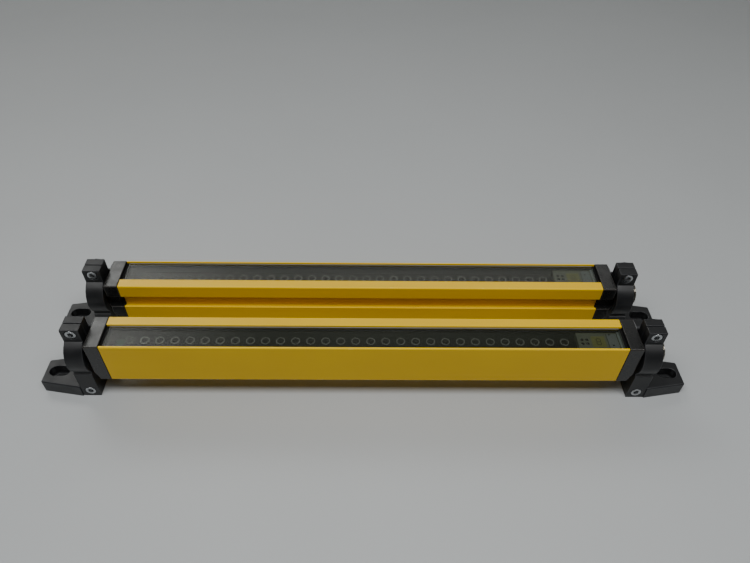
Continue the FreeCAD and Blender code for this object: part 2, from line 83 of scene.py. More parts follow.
def linear(code: str) -> tuple[float, float, float, float]:
    """Turns an sRGB hex colour into Blender's linear colour.

    Args:
        code: Six hex digits after a hash sign.

    Returns:
        Linear red, green and blue, and an alpha of one.
    """
    srgb = np.array([int(code[i:i + 2], 16) for i in (1, 3, 5)]) / 255.0
    rgb = np.where(srgb <= 0.04045, srgb / 12.92, ((srgb + 0.055) / 1.055) ** 2.4)
    return (float(rgb[0]), float(rgb[1]), float(rgb[2]), 1.0)


def add(tree: bpy.types.NodeTree, kind: str, inputs: Optional[dict[Any, Any]] = None,
        **settings: Any) -> bpy.types.Node:
    """Adds one node with its settings and its inputs.

    Args:
        tree: Node tree that gets the node.
        kind: Blender's type name of the node.
        inputs: Value or output socket for each input, by name or number.
        **settings: Properties of the node itself.

    Returns:
        The new node.
    """
    node = tree.nodes.new(kind)
    for name, value in settings.items():
        setattr(node, name, value)
    for key, value in (inputs or {}).items():
        if isinstance(value, bpy.types.NodeSocket):
            tree.links.new(value, node.inputs[key])
        else:
            node.inputs[key].default_value = value
    return node


@dataclass(frozen=True)
class Finish:
    """A surface with a colour that drifts, a gloss that drifts and a fine relief.

    The drift is soft noise of mottle_mm across, and the relief is noise of grain_mm across and
    grain_depth_mm high. Both are drawn times longer along X, where a surface was drawn or wiped.
    Pale scuffs of scuff_mm cover it with the strength of scuffs.
    """

    name: str
    colour: str
    shade: str
    roughness: float
    roughness_drift: float = 0.06
    metallic: float = 0.0
    ior: float = 1.5
    mottle_mm: float = 35.0
    grain_mm: float = 0.9
    grain_depth_mm: float = 0.012
    drawn: float = 1.0
    alpha: float = 1.0
    coat: float = 0.0
    coat_roughness: float = 0.08
    specular: float = 0.5
    scuffs: float = 0.0
    scuff_colour: str = "#8a8a86"
    scuff_mm: float = 3.5
    scuff_drawn: float = 3.0

    def noise(self, tree: bpy.types.NodeTree, size_mm: float, detail: float = 3.0,
              drawn: float = 1.0) -> bpy.types.NodeSocket:
        """Noise of a real size on the piece's own coordinates.

        Args:
            tree: Node tree of the material.
            size_mm: Distance across one spot.
            detail: Octaves of the noise.
            drawn: How many times longer a spot is along X.

        Returns:
            Output socket with values about 0.5.
        """
        place = add(tree, "ShaderNodeTexCoord")
        scale = 1.0 / (size_mm * MM)
        mapping = add(tree, "ShaderNodeMapping", {
            "Vector": place.outputs["Object"], "Scale": (scale / drawn, scale, scale)})
        spots = add(tree, "ShaderNodeTexNoise", {
            "Vector": mapping.outputs["Vector"], "Scale": 1.0, "Detail": detail, "Roughness": 0.55})
        return spots.outputs["Fac"]

    def tint(self, tree: bpy.types.NodeTree) -> bpy.types.NodeSocket:
        """Colour that drifts between colour and shade, with pale scuffs where asked.

        Args:
            tree: Node tree of the material.

        Returns:
            Output socket of the colour.
        """
        drift = add(tree, "ShaderNodeMapRange", {
            "Value": self.noise(tree, self.mottle_mm, drawn=self.drawn),
            "From Min": MOST_OF_NOISE[0], "From Max": MOST_OF_NOISE[1]})
        base = add(tree, "ShaderNodeMix", {
            0: drift.outputs[0], 6: linear(self.colour), 7: linear(self.shade)}, data_type="RGBA")
        if not self.scuffs:
            return base.outputs[2]
        worn_and_highlight = add(tree, "ShaderNodeMapRange", {
            "Value": self.noise(tree, self.scuff_mm, 5.0, self.scuff_drawn),
            "From Min": PEAKS_OF_NOISE[0], "From Max": PEAKS_OF_NOISE[1], "To Max": self.scuffs})
        return add(tree, "ShaderNodeMix", {
            0: worn_and_highlight.outputs[0], 6: base.outputs[2], 7: linear(self.scuff_colour)},
            data_type="RGBA").outputs[2]

    def gloss(self, tree: bpy.types.NodeTree) -> bpy.types.NodeSocket:
        """Roughness that drifts about its middle value.

        Args:
            tree: Node tree of the material.

        Returns:
            Output socket of the roughness.
        """
        return add(tree, "ShaderNodeMapRange", {
            "Value": self.noise(tree, self.mottle_mm * 0.4, 4.0, self.drawn),
            "From Min": MOST_OF_NOISE[0], "From Max": MOST_OF_NOISE[1],
            "To Min": self.roughness - self.roughness_drift,
            "To Max": self.roughness + self.roughness_drift}).outputs[0]

    def relief(self, tree: bpy.types.NodeTree) -> bpy.types.NodeSocket:
        """Normal bent by the fine grain.

        Args:
            tree: Node tree of the material.

        Returns:
            Output socket of the normal.
        """
        grain = self.noise(tree, self.grain_mm, 2.0, self.drawn)
        bump = add(tree, "ShaderNodeBump", {
            "Height": grain, "Strength": 1.0, "Distance": self.grain_depth_mm * MM})
        return bump.outputs["Normal"]

    def metal(self, tree: bpy.types.NodeTree) -> Any:
        """How much of the surface is bare metal."""
        return self.metallic

    def material(self) -> bpy.types.Material:
        """The Blender material of this finish, made once.

        Returns:
            The material.
        """
        made = bpy.data.materials.get(self.name)
        if made is not None:
            return made
        made = bpy.data.materials.new(self.name)
        made.use_nodes = True
        tree = made.node_tree
        tree.nodes.clear()
        shader = add(tree, "ShaderNodeBsdfPrincipled", {
            "Base Color": self.tint(tree), "Roughness": self.gloss(tree), "Metallic": self.metal(tree),
            "IOR": self.ior, "Alpha": self.alpha, "Coat Weight": self.coat,
            "Coat Roughness": self.coat_roughness,
            "Specular IOR Level": self.specular, "Normal": self.relief(tree)})
        add(tree, "ShaderNodeOutputMaterial", {"Surface": shader.outputs["BSDF"]})
        made.diffuse_color = linear(self.colour)
        return made


@dataclass(frozen=True)
class PowderCoat(Finish):
    """Powder coat on the outside of an extrusion, whose chamber is bare aluminium.

    The chamber is the box of half sizes chamber_mm about middle_mm, where the coating never reached.
    """

    middle_mm: tuple[float, float] = (0.0, 0.0)
    chamber_mm: tuple[float, float] = (1.0, 1.0)
    bare_colour: str = "#54564f"

    def bare(self, tree: bpy.types.NodeTree) -> bpy.types.NodeSocket:
        """One inside the chamber and nought outside it.

        Args:
            tree: Node tree of the material.

        Returns:
            Output socket of the share of bare metal.
        """
        place = add(tree, "ShaderNodeTexCoord")
        parts = add(tree, "ShaderNodeSeparateXYZ", {"Vector": place.outputs["Object"]})
        inside = []
        for axis, middle, half in zip("YZ", self.middle_mm, self.chamber_mm):
            inside.append(add(tree, "ShaderNodeMath", {
                0: parts.outputs[axis], 1: middle * MM, 2: half * MM}, operation="COMPARE").outputs[0])
        return add(tree, "ShaderNodeMath", {0: inside[0], 1: inside[1]},
                   operation="MULTIPLY").outputs[0]

    def tint(self, tree: bpy.types.NodeTree) -> bpy.types.NodeSocket:
        """Yellow outside and dull mill aluminium in the chamber."""
        return add(tree, "ShaderNodeMix", {0: self.bare(tree), 6: super().tint(tree), 7: linear(
            self.bare_colour)}, data_type="RGBA").outputs[2]

    def metal(self, tree: bpy.types.NodeTree) -> bpy.types.NodeSocket:
        """Metal only in the chamber."""
        return self.bare(tree)


@dataclass(frozen=True)
class CircuitBoard(Finish):
    """Green solder mask over copper tracks that run along the board track_mm apart."""

    track_colour: str = "#2f7d4a"
    track_mm: float = 1.3
    track_share: float = 0.16
    track_length: float = 9.0

    def tint(self, tree: bpy.types.NodeTree) -> bpy.types.NodeSocket:
        """Paler lines where copper lies under the mask.

        Args:
            tree: Node tree of the material.

        Returns:
            Output socket of the colour.
        """
        place = add(tree, "ShaderNodeTexCoord")
        cells = add(tree, "ShaderNodeTexBrick", {
            "Vector": place.outputs["Object"], "Scale": 1.0 / (self.track_mm * MM),
            "Color1": (0, 0, 0, 1), "Color2": (0, 0, 0, 1), "Mortar": (1, 1, 1, 1),
            "Mortar Size": self.track_share, "Brick Width": self.track_length, "Row Height": 1.0})
        return add(tree, "ShaderNodeMix", {
            0: cells.outputs["Color"], 6: super().tint(tree), 7: linear(self.track_colour)},
            data_type="RGBA").outputs[2]


@dataclass(frozen=True)
class RibbedLead(Finish):
    """Flat lead whose cores show as ribs rib_mm apart across it."""

    rib_mm: float = 1.27
    rib_depth_mm: float = 0.3

    def relief(self, tree: bpy.types.NodeTree) -> bpy.types.NodeSocket:
        """Round ribs along the lead.

        Args:
            tree: Node tree of the material.

        Returns:
            Output socket of the normal.
        """
        place = add(tree, "ShaderNodeTexCoord")
        ribs = add(tree, "ShaderNodeTexWave", {
            "Vector": place.outputs["Object"], "Scale": math.pi / (10 * self.rib_mm * MM)},
            wave_type="BANDS", bands_direction="Y")
        bump = add(tree, "ShaderNodeBump", {
            "Height": ribs.outputs["Fac"], "Strength": 1.0, "Distance": self.rib_depth_mm * MM})
        return bump.outputs["Normal"]


# Glass-filled nylon, moulded: near black, a fine eroded texture that softens every highlight.
BRACKET_NYLON = Finish("glass_filled_nylon_moulded", "#101113", "#17181a", 0.44, grain_mm=0.8,
                       grain_depth_mm=0.02, scuffs=0.25, scuff_colour="#333436", specular=0.5)
# The same moulding on its edges, a shade greyer: partly where handling has polished them, partly a
# painted highlight along every edge.
BRACKET_WORN_EDGE_AND_HIGHLIGHT = Finish("glass_filled_nylon_worn_edge_and_highlight", "#232427", "#303133", 0.38, grain_mm=0.8,
                      grain_depth_mm=0.01, scuffs=0.5, scuff_colour="#4c4d4e")
# PBT, moulded: black, with a smoother skin than the brackets.
CAP_PBT = Finish("pbt_moulded", "#0b0c0c", "#121212", 0.28, grain_mm=0.7, grain_depth_mm=0.01,
                 ior=1.57, scuffs=0.2, scuff_colour="#3a3836", specular=0.5)
# PBT edges: rubbed, and painted lighter as a highlight along every edge.
CAP_WORN_EDGE_AND_HIGHLIGHT = Finish("pbt_worn_edge_and_highlight", "#2a2826", "#393633", 0.32, grain_mm=0.7, grain_depth_mm=0.006,
                  scuffs=0.5, scuff_colour="#6a6660", ior=1.55)
# Acrylic pane, cast and tinted: dark grey green, polished, half see-through.
PANE_ACRYLIC = Finish("tinted_acrylic_polished", "#1a1d10", "#1e2113", 0.06, 0.02, ior=1.49,
                      grain_mm=60.0, grain_depth_mm=0.0002, alpha=0.38)
# Chloroprene, cut from sheet: matt black with a dusty bloom.
SEAL_RUBBER = Finish("chloroprene_cut_sheet", "#080808", "#0e0e0d", 0.85, grain_mm=0.6,
                     grain_depth_mm=0.03, specular=0.15)
# Polycarbonate, moulded nearly black: dark and smooth, with faint glints.
LENS_PC = Finish("polycarbonate_lens_moulded", "#0c0e0e", "#131615", 0.14, 0.03, ior=1.58,
                 grain_mm=1.5, grain_depth_mm=0.004, specular=0.04)
# The same moulding on the rims, coloured pale so that they paint the glints of the lenses.
LENS_RIM_PAINTED_GLINT = Finish("polycarbonate_rim_painted_glint", "#b0b6ab", "#8a9087", 0.2, 0.08, ior=1.58,
                  mottle_mm=5.0, grain_mm=0.5, grain_depth_mm=0.01)
# ABS, moulded matt black, so that no light strays between the beams.
TUNNEL_ABS = Finish("abs_matt_moulded", "#101011", "#161617", 0.7, grain_mm=0.6,
                    grain_depth_mm=0.02)
# Epoxy mould compound on chips and diodes: charcoal, faintly gritty.
CHIP_EPOXY = Finish("epoxy_moulding_compound", "#191a1c", "#232427", 0.5, grain_mm=0.4,
                    grain_depth_mm=0.01)
# Glass epoxy board with a silk-gloss green solder mask.
BOARD_FR4 = CircuitBoard("solder_mask_on_glass_epoxy", "#11432a", "#174d31", 0.35, grain_mm=0.5,
                         grain_depth_mm=0.01)
# Polyester film, screen printed grey green, matt.
MASK_FILM = Finish("screen_printed_polyester", "#767f6b", "#808973", 0.55, grain_mm=0.5,
                   grain_depth_mm=0.006)
# The same film printed grey at its blank end.
MASK_GREY = Finish("screen_printed_polyester_grey", "#838f8a", "#8b9691", 0.5, grain_mm=0.5,
                   grain_depth_mm=0.006)
# Grey screen ink on the underside and the end of the pane, painted darker than that of the display as
# shade.
PANE_INK_PAINTED_SHADE = Finish("screen_ink_grey_painted_shade", "#5b6560", "#616b66", 0.5, grain_mm=0.5, grain_depth_mm=0.006)
# Olive screen ink over the digit, clear enough to read it lit.
FIELD_OLIVE = Finish("screen_ink_olive", "#8a8f4a", "#949956", 0.4, grain_mm=0.6,
                     grain_depth_mm=0.004)
# Black screen ink.
MARK_INK = Finish("screen_ink_black", "#14170f", "#1b1e15", 0.5, grain_mm=0.4, grain_depth_mm=0.004)
# Silicone bead: pale grey and glossy; its pale colour paints the highlight line along the window's edges.
BEAD_PAINTED_HIGHLIGHT = Finish("silicone_bead_painted_highlight", "#6f6b58", "#625f4e", 0.35, 0.05, ior=1.41,
                       mottle_mm=8.0, grain_mm=1.0, grain_depth_mm=0.01)
# Cast resin over the digit: olive, glossy.
DIGIT_RESIN = Finish("cast_resin_olive", "#8a8d3c", "#92954a", 0.25, grain_mm=2.0,
                     grain_depth_mm=0.004)
# Unlit segments: dark diffusing resin.
SEGMENT_RESIN = Finish("diffusing_resin_dark", "#34361b", "#3d4021", 0.35, grain_mm=1.0,
                       grain_depth_mm=0.004)
# Unlit status lights: smoky diffusing resin.
LED_RESIN = Finish("diffusing_resin_smoky", "#1a1d1a", "#232622", 0.2, grain_mm=1.0,
                   grain_depth_mm=0.004, coat=0.4)
# Steel, cold headed and zinc plated: bright grey with fine turning marks.
ZINC_STEEL = Finish("zinc_plated_steel", "#b9bbbd", "#a7a9ab", 0.27, 0.08, metallic=1.0,
                    mottle_mm=4.0, grain_mm=0.25, grain_depth_mm=0.006)
# Brass, turned and nickel plated: warm bright grey.
NICKEL_BRASS = Finish("nickel_plated_brass_turned", "#b5b1a8", "#a29e95", 0.24, 0.06, metallic=1.0,
                      mottle_mm=6.0, grain_mm=0.3, grain_depth_mm=0.004)
# Brass contacts, gold plated.
GOLD_CONTACT = Finish("gold_plated_brass", "#d8b25a", "#c89f48", 0.22, 0.05, metallic=1.0,
                      mottle_mm=3.0, grain_mm=0.3, grain_depth_mm=0.003)
# PVC ribbon lead, grey.
LEAD_PVC = RibbedLead("pvc_ribbon_lead", "#5c5d5f", "#67686a", 0.55)

# Finish of each CAD node that keeps its own mesh, by its name without the bar's.
CAD_FINISHES: dict[str, Finish] = {
    "window": PANE_ACRYLIC,
    "window_end_strips": SEAL_RUBBER,
    "window_seal": SEAL_RUBBER,
    "aperture_body": TUNNEL_ABS,
    "diodes": CHIP_EPOXY,
    "main_board": BOARD_FR4,
    "board_components": CHIP_EPOXY,
    "display_panel": MASK_FILM,
    "display_board": BOARD_FR4,
    "display_spacers": TUNNEL_ABS,
    "digit_display": DIGIT_RESIN,
    "status_leds": LED_RESIN,
    "cap_gaskets": SEAL_RUBBER,
    "cap_screws": ZINC_STEEL,
    "clamp_nuts": ZINC_STEEL,
    "socket_insert": TUNNEL_ABS,
    "ribbon": LEAD_PVC,
}


def make_piece(name: str, points_mm: np.ndarray, faces: Sequence[Sequence[int]], finish: Finish,
               body: str, slot: Slot, sharp_deg: float = 35.0) -> bpy.types.Object:
    """Makes a mesh object from points and faces and lets it ride on a CAD body.

    Args:
        name: Name of the piece.
        points_mm: Corner points, one row each.
        faces: Corner numbers of each face, seen anticlockwise from outside.
        finish: Finish of the whole piece.
        body: CAD body that the piece moves with.
        slot: Slot of the record that the piece belongs to; not used.
        sharp_deg: Edges bent by more than this stay sharp.

    Returns:
        The new object.
    """
    mesh = bpy.data.meshes.new(name)
    mesh.from_pydata((points_mm * MM).tolist(), [], [list(face) for face in faces])
    mesh.materials.append(finish.material())
    mesh.shade_smooth()
    mesh.set_sharp_from_angle(angle=math.radians(sharp_deg))
    piece = bpy.data.objects.new(name, mesh)
    bpy.context.scene.collection.objects.link(piece)
    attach(piece, body)
    return piece


def turned(profile: np.ndarray, steps: int) -> Mesh:
    """Solid turned about Z from a profile that starts at its top on the axis and ends below on it.

    Point (i, j) is (r_i cos t_j, r_i sin t_j, z_i) with t_j = 2 pi j / steps. The first and the last
    profile point lie on the axis and are one point each, joined to their rings by triangles.

    Args:
        profile: Radius and height of each profile point.
        steps: Points round the axis.

    Returns:
        Points and faces.
    """
    angle = 2 * np.pi * np.arange(steps) / steps
    rings = profile[1:-1]
    grid = np.stack([
        rings[:, :1] * np.cos(angle), rings[:, :1] * np.sin(angle),
        np.repeat(rings[:, 1:], steps, axis=1)], axis=-1).reshape(-1, 3)
    poles = np.array([[0, 0, profile[0, 1]], [0, 0, profile[-1, 1]]])
    here, nxt = np.arange(steps), (np.arange(steps) + 1) % steps
    row = np.arange(len(rings) - 1)[:, None] * steps
    quads = np.stack([row + here, row + steps + here, row + steps + nxt, row + nxt],
                     axis=-1).reshape(-1, 4)
    top, low, last = len(grid), len(grid) + 1, (len(rings) - 1) * steps
    caps = np.concatenate([
        np.stack([np.full(steps, top), here, nxt], axis=-1),
        np.stack([np.full(steps, low), last + nxt, last + here], axis=-1)])
    return np.concatenate([grid, poles]), quads.tolist() + caps.tolist()


def joined(parts: Sequence[Mesh]) -> Mesh:
    """Several meshes as one.

    Args:
        parts: Points and faces of each mesh.

    Returns:
        Points and faces of all of them.
    """
    starts = np.cumsum([0] + [len(points) for points, _ in parts]).tolist()
    faces = [[corner + start for corner in face]
             for start, (_, own) in zip(starts, parts) for face in own]
    return np.concatenate([points for points, _ in parts]), faces


def repeated(points: np.ndarray, faces: Sequence[Sequence[int]], places: np.ndarray) -> Mesh:
    """The same solid at several places, as one mesh.

    Args:
        points: Points of the solid about its own centre.
        faces: Faces of the solid.
        places: Where each copy goes.

    Returns:
        Points and faces of all the copies.
    """
    return joined([(points + place, faces) for place in places])


def lofted(loops: np.ndarray, closed_along: bool = False) -> Mesh:
    """Skin through a row of closed loops with equal numbers of points.

    Point (i, j) is point j of loop i, and quads join neighbours. Open ends are shut by one face each.

    Args:
        loops: Array of loops by points by three.
        closed_along: Whether the last loop joins the first.

    Returns:
        Points and faces.
    """
    rows, columns = loops.shape[:2]
    i = np.arange(rows if closed_along else rows - 1)[:, None]
    j = np.arange(columns)[None, :]
    i2, j2 = (i + 1) % rows, (j + 1) % columns
    quads = np.stack([i * columns + j, i * columns + j2, i2 * columns + j2, i2 * columns + j],
                     axis=-1).reshape(-1, 4).tolist()
    if not closed_along:
        quads.append(list(range(columns))[::-1])
        quads.append(list(range((rows - 1) * columns, rows * columns)))
    return loops.reshape(-1, 3), quads


def slab(outline: np.ndarray, heights: Sequence[float]) -> Mesh:
    """Upright prism: the outline at two heights, joined by flat sides.

    Args:
        outline: Points of the outline, seen anticlockwise from above.
        heights: Lowest and highest height.

    Returns:
        Points and faces.
    """
    return lofted(np.stack([np.column_stack([outline, np.full(len(outline), z)]) for z in heights]))


def rectangle(x0: float, x1: float, y0: float, y1: float) -> np.ndarray:
    """Corners of a rectangle, seen anticlockwise from above."""
    return np.array([[x0, y0], [x1, y0], [x1, y1], [x0, y1]])


@dataclass(frozen=True)
class Bar:
    """One bar of the pair, with the places that its pieces are set by.

    Its side is 1 for the sender and -1 for the receiver, whose pieces are mirrored across the length.
    """

    name: str
    side: int

    @property
    def body(self) -> str:
        """CAD body that the bar's pieces ride on."""
        return f"{self.name}_bar"

    def node(self, piece: str) -> str:
        """Name of one of the bar's CAD nodes."""
        return f"{self.name}_{piece}"

    def box(self, piece: str) -> tuple[np.ndarray, np.ndarray]:
        """Lowest and highest corner of a CAD node in millimetres.

        Args:
            piece: Name of the node without the bar's name.

        Returns:
            Both corners.
        """
        low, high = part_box(self.node(piece))
        return np.array(low) / MM, np.array(high) / MM

    @property
    def centre(self) -> np.ndarray:
        """Middle of the bar on its long axis, in millimetres."""
        low, high = self.box("housing")
        return (low + high) / 2


@dataclass(frozen=True)
class SoftEdges:
    """A CAD solid with the small edge radius of the real moulding, extrusion or screw.

    The CAD mesh is copied, welded and freed of edges that bend by less than flat_deg, and a bevel of
    radius_mm in the edge finish rounds each convex edge that bends by more than limit_deg. The edge
    finish is rubbed and lighter, so it paints a highlight along every such edge.
    """

    radius_mm: float
    finish: Finish
    worn_and_highlight: Finish
    slot: Slot
    segments: int = 2
    limit_deg: float = 28.0
    flat_deg: float = 0.5
    weld_mm: float = 0.002

    def dress(self, node: str, body: str) -> bpy.types.Object:
        """Makes the soft-edged copy, which stands for the node.

        Args:
            node: CAD node to copy.
            body: CAD body that it rides on.

        Returns:
            The new object.
        """
        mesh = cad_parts[node].data.copy()
        mesh.name = f"{node}_soft"
        work = bmesh.new()
        work.from_mesh(mesh)
        bmesh.ops.remove_doubles(work, verts=work.verts, dist=self.weld_mm * MM)
        bmesh.ops.dissolve_limit(work, angle_limit=math.radians(self.flat_deg), verts=work.verts,
                                 edges=work.edges)
        weight = work.edges.layers.float.new("bevel_weight_edge")
        for edge in work.edges:
            if len(edge.link_faces) == 2 and edge.is_convex:
                edge[weight] = float(edge.calc_face_angle() > math.radians(self.limit_deg))
        work.to_mesh(mesh)
        work.free()
        for layer in ("custom_normal", "sharp_edge", "sharp_face"):
            if layer in mesh.attributes:
                mesh.attributes.remove(mesh.attributes[layer])
        mesh.materials.clear()
        mesh.materials.append(self.finish.material())
        # Second slot: the edge finish, rubbed and lighter, which paints a highlight on the bevels.
        mesh.materials.append(self.worn_and_highlight.material())
        mesh.polygons.foreach_set("material_index", np.zeros(len(mesh.polygons), np.int32))
        mesh.shade_smooth()
        mesh.set_sharp_from_angle(angle=math.radians(self.limit_deg))
        piece = bpy.data.objects.new(f"{node}_soft", mesh)
        bpy.context.scene.collection.objects.link(piece)
        bevel = piece.modifiers.new("edge_radius", "BEVEL")
        bevel.width = self.radius_mm * MM
        bevel.segments = self.segments
        bevel.limit_method = "WEIGHT"
        bevel.material = 1
        bevel.harden_normals = True
        bevel.use_clamp_overlap = False
        bevel.miter_outer = "MITER_ARC"
        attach(piece, body)
        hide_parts(node)
        return piece


@dataclass
class LensRow:
    """Strip of moulded lenses: a plate with a stepped round lens and a notched rim at each beam, pale so
    that it paints broken glints.

    The row ends end_gap short of the strip's socket end, and lies inward of the strip's middle,
    towards the other bar. Sections are given in shares of radius and rise.
    """

    bar: Bar
    pitch: float = 15.0
    radius: float = 4.5
    rise: float = 1.3
    end_gap: float = 6.5
    inward: float = 1.3
    steps: int = 48
    notches: int = 5
    notch_share: float = 0.1
    notch_limit: float = -0.5
    notch_turn: float = 0.5

    def places(self, low: np.ndarray, high: np.ndarray) -> np.ndarray:
        """Centres of the lenses, counted back from the strip's socket end.

        Args:
            low: Lowest corner of the CAD lens strip.
            high: Highest corner of it.

        Returns:
            One row for each lens, on the plate's top.
        """
        first = high[0] - self.end_gap - self.radius
        count = int((first - low[0] - self.radius) // self.pitch) + 1
        x = first - self.pitch * np.arange(count)
        middle = (low[1] + high[1]) / 2 + self.bar.side * self.inward
        return np.stack([x, np.full(count, middle), np.full(count, high[2] - self.rise)], axis=-1)

    def profile(self) -> np.ndarray:
        """Section of one lens: a dome with two steps down round it.

        Returns:
            Radius and height of each point.
        """
        dome_r = np.linspace(0.0, 0.56, 6) * self.radius
        dome_z = self.rise * (0.5 + 0.4 * (1 - (dome_r / dome_r[-1]) ** 2))
        dome = np.stack([dome_r, dome_z], axis=-1)
        steps = np.array([
            [0.58, 0.16], [0.66, 0.46], [0.69, 0.10], [0.74, 0.08],
            [0.74, -0.2]]) * [self.radius, self.rise]
        return np.concatenate([dome, steps, [[0.0, -0.2 * self.rise]]])

    def rim(self) -> Mesh:
        """Notched rim of one lens, a closed ring, whose pale finish paints the lens's broken glints.

        The section is a low crowned ridge. Its top falls to notch_share of its height wherever the
        cosine of notches times the angle, turned by notch_turn, is above notch_limit.

        Returns:
            Points and faces.
        """
        angle = 2 * np.pi * np.arange(self.steps) / self.steps
        section = np.array([[0.76, -0.2], [0.78, 0.70], [0.84, 1.0], [0.92, 0.96], [1.00, 0.45],
                            [1.00, -0.2]]) * [self.radius, self.rise]
        notched = np.cos(self.notches * angle + self.notch_turn) > self.notch_limit
        share = np.where(notched, self.notch_share, 1.0)[:, None]
        height = np.where(section[:, 1] > 0, section[:, 1] * share, section[:, 1])
        loops = np.stack([section[:, 0] * np.cos(angle)[:, None],
                          section[:, 0] * np.sin(angle)[:, None], height], axis=-1)
        return lofted(loops, closed_along=True)

    def build(self) -> None:
        """Makes the plate with its lenses, which stands for the CAD lens strip, and the rims, pale as
        painted glints.
        """
        low, high = self.bar.box("lens_plate")
        places = self.places(low, high)
        lenses = repeated(*turned(self.profile(), self.steps), places)
        plate = slab(rectangle(low[0], high[0], low[1], high[1]), (low[2], high[2] - self.rise))
        piece = make_piece(self.bar.node("lens_row"), *joined([lenses, plate]), LENS_PC,
                           self.bar.body, Slot.LENS)
        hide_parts(self.bar.node("lens_plate"))
        # The rims' pale finish paints the glints of the lenses.
        make_piece(self.bar.node("lens_rims"), *repeated(*self.rim(), places), LENS_RIM_PAINTED_GLINT,
                   self.bar.body, Slot.LENS)


@dataclass
class StatusDisplay:
    """Unlit digit, light domes and plain marks of the status display."""

    bar: Bar
    segment_long: float = 3.6
    segment_wide: float = 0.8
    segment_gap: float = 0.25
    segment_rise: float = 0.10
    dome_radius: float = 1.45
    dome_rise: float = 0.5
    dome_sink: float = 0.2
    dome_inset: tuple[float, float] = (1.5, 1.6)
    field_long: float = 11.3
    field_edge: float = 1.2
    field_rise: float = 0.05
    divider_wide: float = 0.5
    digit_border: float = 3.0
    mark_size: float = 1.8
    mark_starts: tuple[float, float] = (2.3, 3.4)
    mark_offsets: tuple[float, float] = (9.3, -4.7)
    print_lap: float = 0.9
    print_half: float = 0.02
    print_gap: float = 0.1

    def segment_outlines(self, centre: np.ndarray) -> np.ndarray:
        """Outlines of seven segments: a long hexagon, laid along X or Y at seven places.

        Args:
            centre: Middle of the digit.

        Returns:
            Array of seven outlines by six points by two.
        """
        half, wide = self.segment_long / 2, self.segment_wide / 2
        bar = np.array([[-half, 0], [-half + wide, -wide], [half - wide, -wide], [half, 0],
                        [half - wide, wide], [-half + wide, wide]])
        upright = bar[:, ::-1] * [-1, 1]
        step = self.segment_long + self.segment_gap
        across = [(0, -step), (0, 0), (0, step)]
        along = [(-step / 2, -step / 2), (step / 2, -step / 2), (-step / 2, step / 2),
                 (step / 2, step / 2)]
        outlines = [bar + place for place in across] + [upright + place for place in along]
        return np.array(outlines) + centre[:2]

    def build_digit(self) -> None:
        """Sets seven segments over the digit, raised through the field printed round it."""
        low, high = self.bar.box("digit_display")
        top = self.bar.box("display_panel")[1][2]
        span = (top - self.segment_rise, top + self.segment_rise)
        segments = [slab(outline, span) for outline in self.segment_outlines((low + high) / 2)]
        make_piece(self.bar.node("digit_segments"), *joined(segments), SEGMENT_RESIN, self.bar.body,
                   Slot.DIGIT)

    def build_domes(self) -> None:
        """Rounds the top of each status light with a low dome."""
        low, high = self.bar.box("status_leds")
        turn = np.linspace(0, np.pi / 2, 6)
        dome = np.stack([self.dome_radius * np.sin(turn), self.dome_rise * np.cos(turn)], axis=-1)
        profile = np.concatenate([dome, [[self.dome_radius, -self.dome_sink], [0, -self.dome_sink]]])
        x_inset, y_inset = self.dome_inset
        places = [(x, y, high[2]) for y in (low[1] + y_inset, high[1] - y_inset)
                  for x in (low[0] + x_inset, high[0] - x_inset)]
        make_piece(self.bar.node("light_domes"), *repeated(*turned(profile, 24), np.array(places)),
                   LED_RESIN, self.bar.body, Slot.LED)

    def layer(self, top: float, count: int) -> tuple[float, float]:
        """Lowest and highest height of an ink layer.

        Args:
            top: Height of the printed surface.
            count: How many layers of ink it stands out by.

        Returns:
            Both heights.
        """
        return top - self.field_rise, top + count * self.field_rise

    def build_fields(self) -> None:
        """Prints plain fields on the panel and grey, darkened as painted shade, on the pane's underside
        and edge beyond it.
        """
        low, high = self.bar.box("display_panel")
        digit_low, digit_high = self.bar.box("digit_display")
        middle = (low[1] + high[1]) / 2
        half = (high[1] - low[1]) / 2 - self.field_edge
        start, end = high[0] - self.field_long, high[0] - self.field_edge
        across, along = self.digit_border, self.digit_border / 3
        marks = [(start - self.divider_wide, start, middle - half, middle + half)]
        for ahead, offset in zip(self.mark_starts, self.mark_offsets):
            x, y = start + ahead, middle + self.bar.side * offset - self.mark_size / 2
            marks.append((x, x + self.mark_size, y, y + self.mark_size))
        pane_low, pane_high = self.bar.box("window")
        under = (pane_low[2] - self.print_half, pane_low[2] + self.print_half)
        pane_end = (pane_high[0] - self.print_half, pane_high[0] + self.print_half)
        prints = [
            ("digit_field", FIELD_OLIVE, self.layer(high[2], 1), [
                (digit_low[0] - across, digit_high[0] + across, digit_low[1] - along,
                 digit_high[1] + along)]),
            ("blank_field", MASK_GREY, self.layer(high[2], 1), [
                (start, end, middle - half, middle + half)]),
            ("field_marks", MARK_INK, self.layer(high[2], 2), marks),
            # The pane's two prints use the grey ink darkened as painted shade.
            ("pane_print", PANE_INK_PAINTED_SHADE, under, [
                (high[0] - self.print_lap, pane_end[0], low[1], high[1])]),
            ("pane_edge_print", PANE_INK_PAINTED_SHADE, (under[1], pane_high[2] - self.print_gap), [
                (*pane_end, low[1], high[1])]),
        ]
        for name, finish, span, patches in prints:
            slabs = [slab(rectangle(*patch), span) for patch in patches]
            make_piece(self.bar.node(name), *joined(slabs), finish, self.bar.body, Slot.MASK)

    def build(self) -> None:
        """Makes the digit's segments, the domes and the printed fields."""
        self.build_digit()
        self.build_domes()
        self.build_fields()


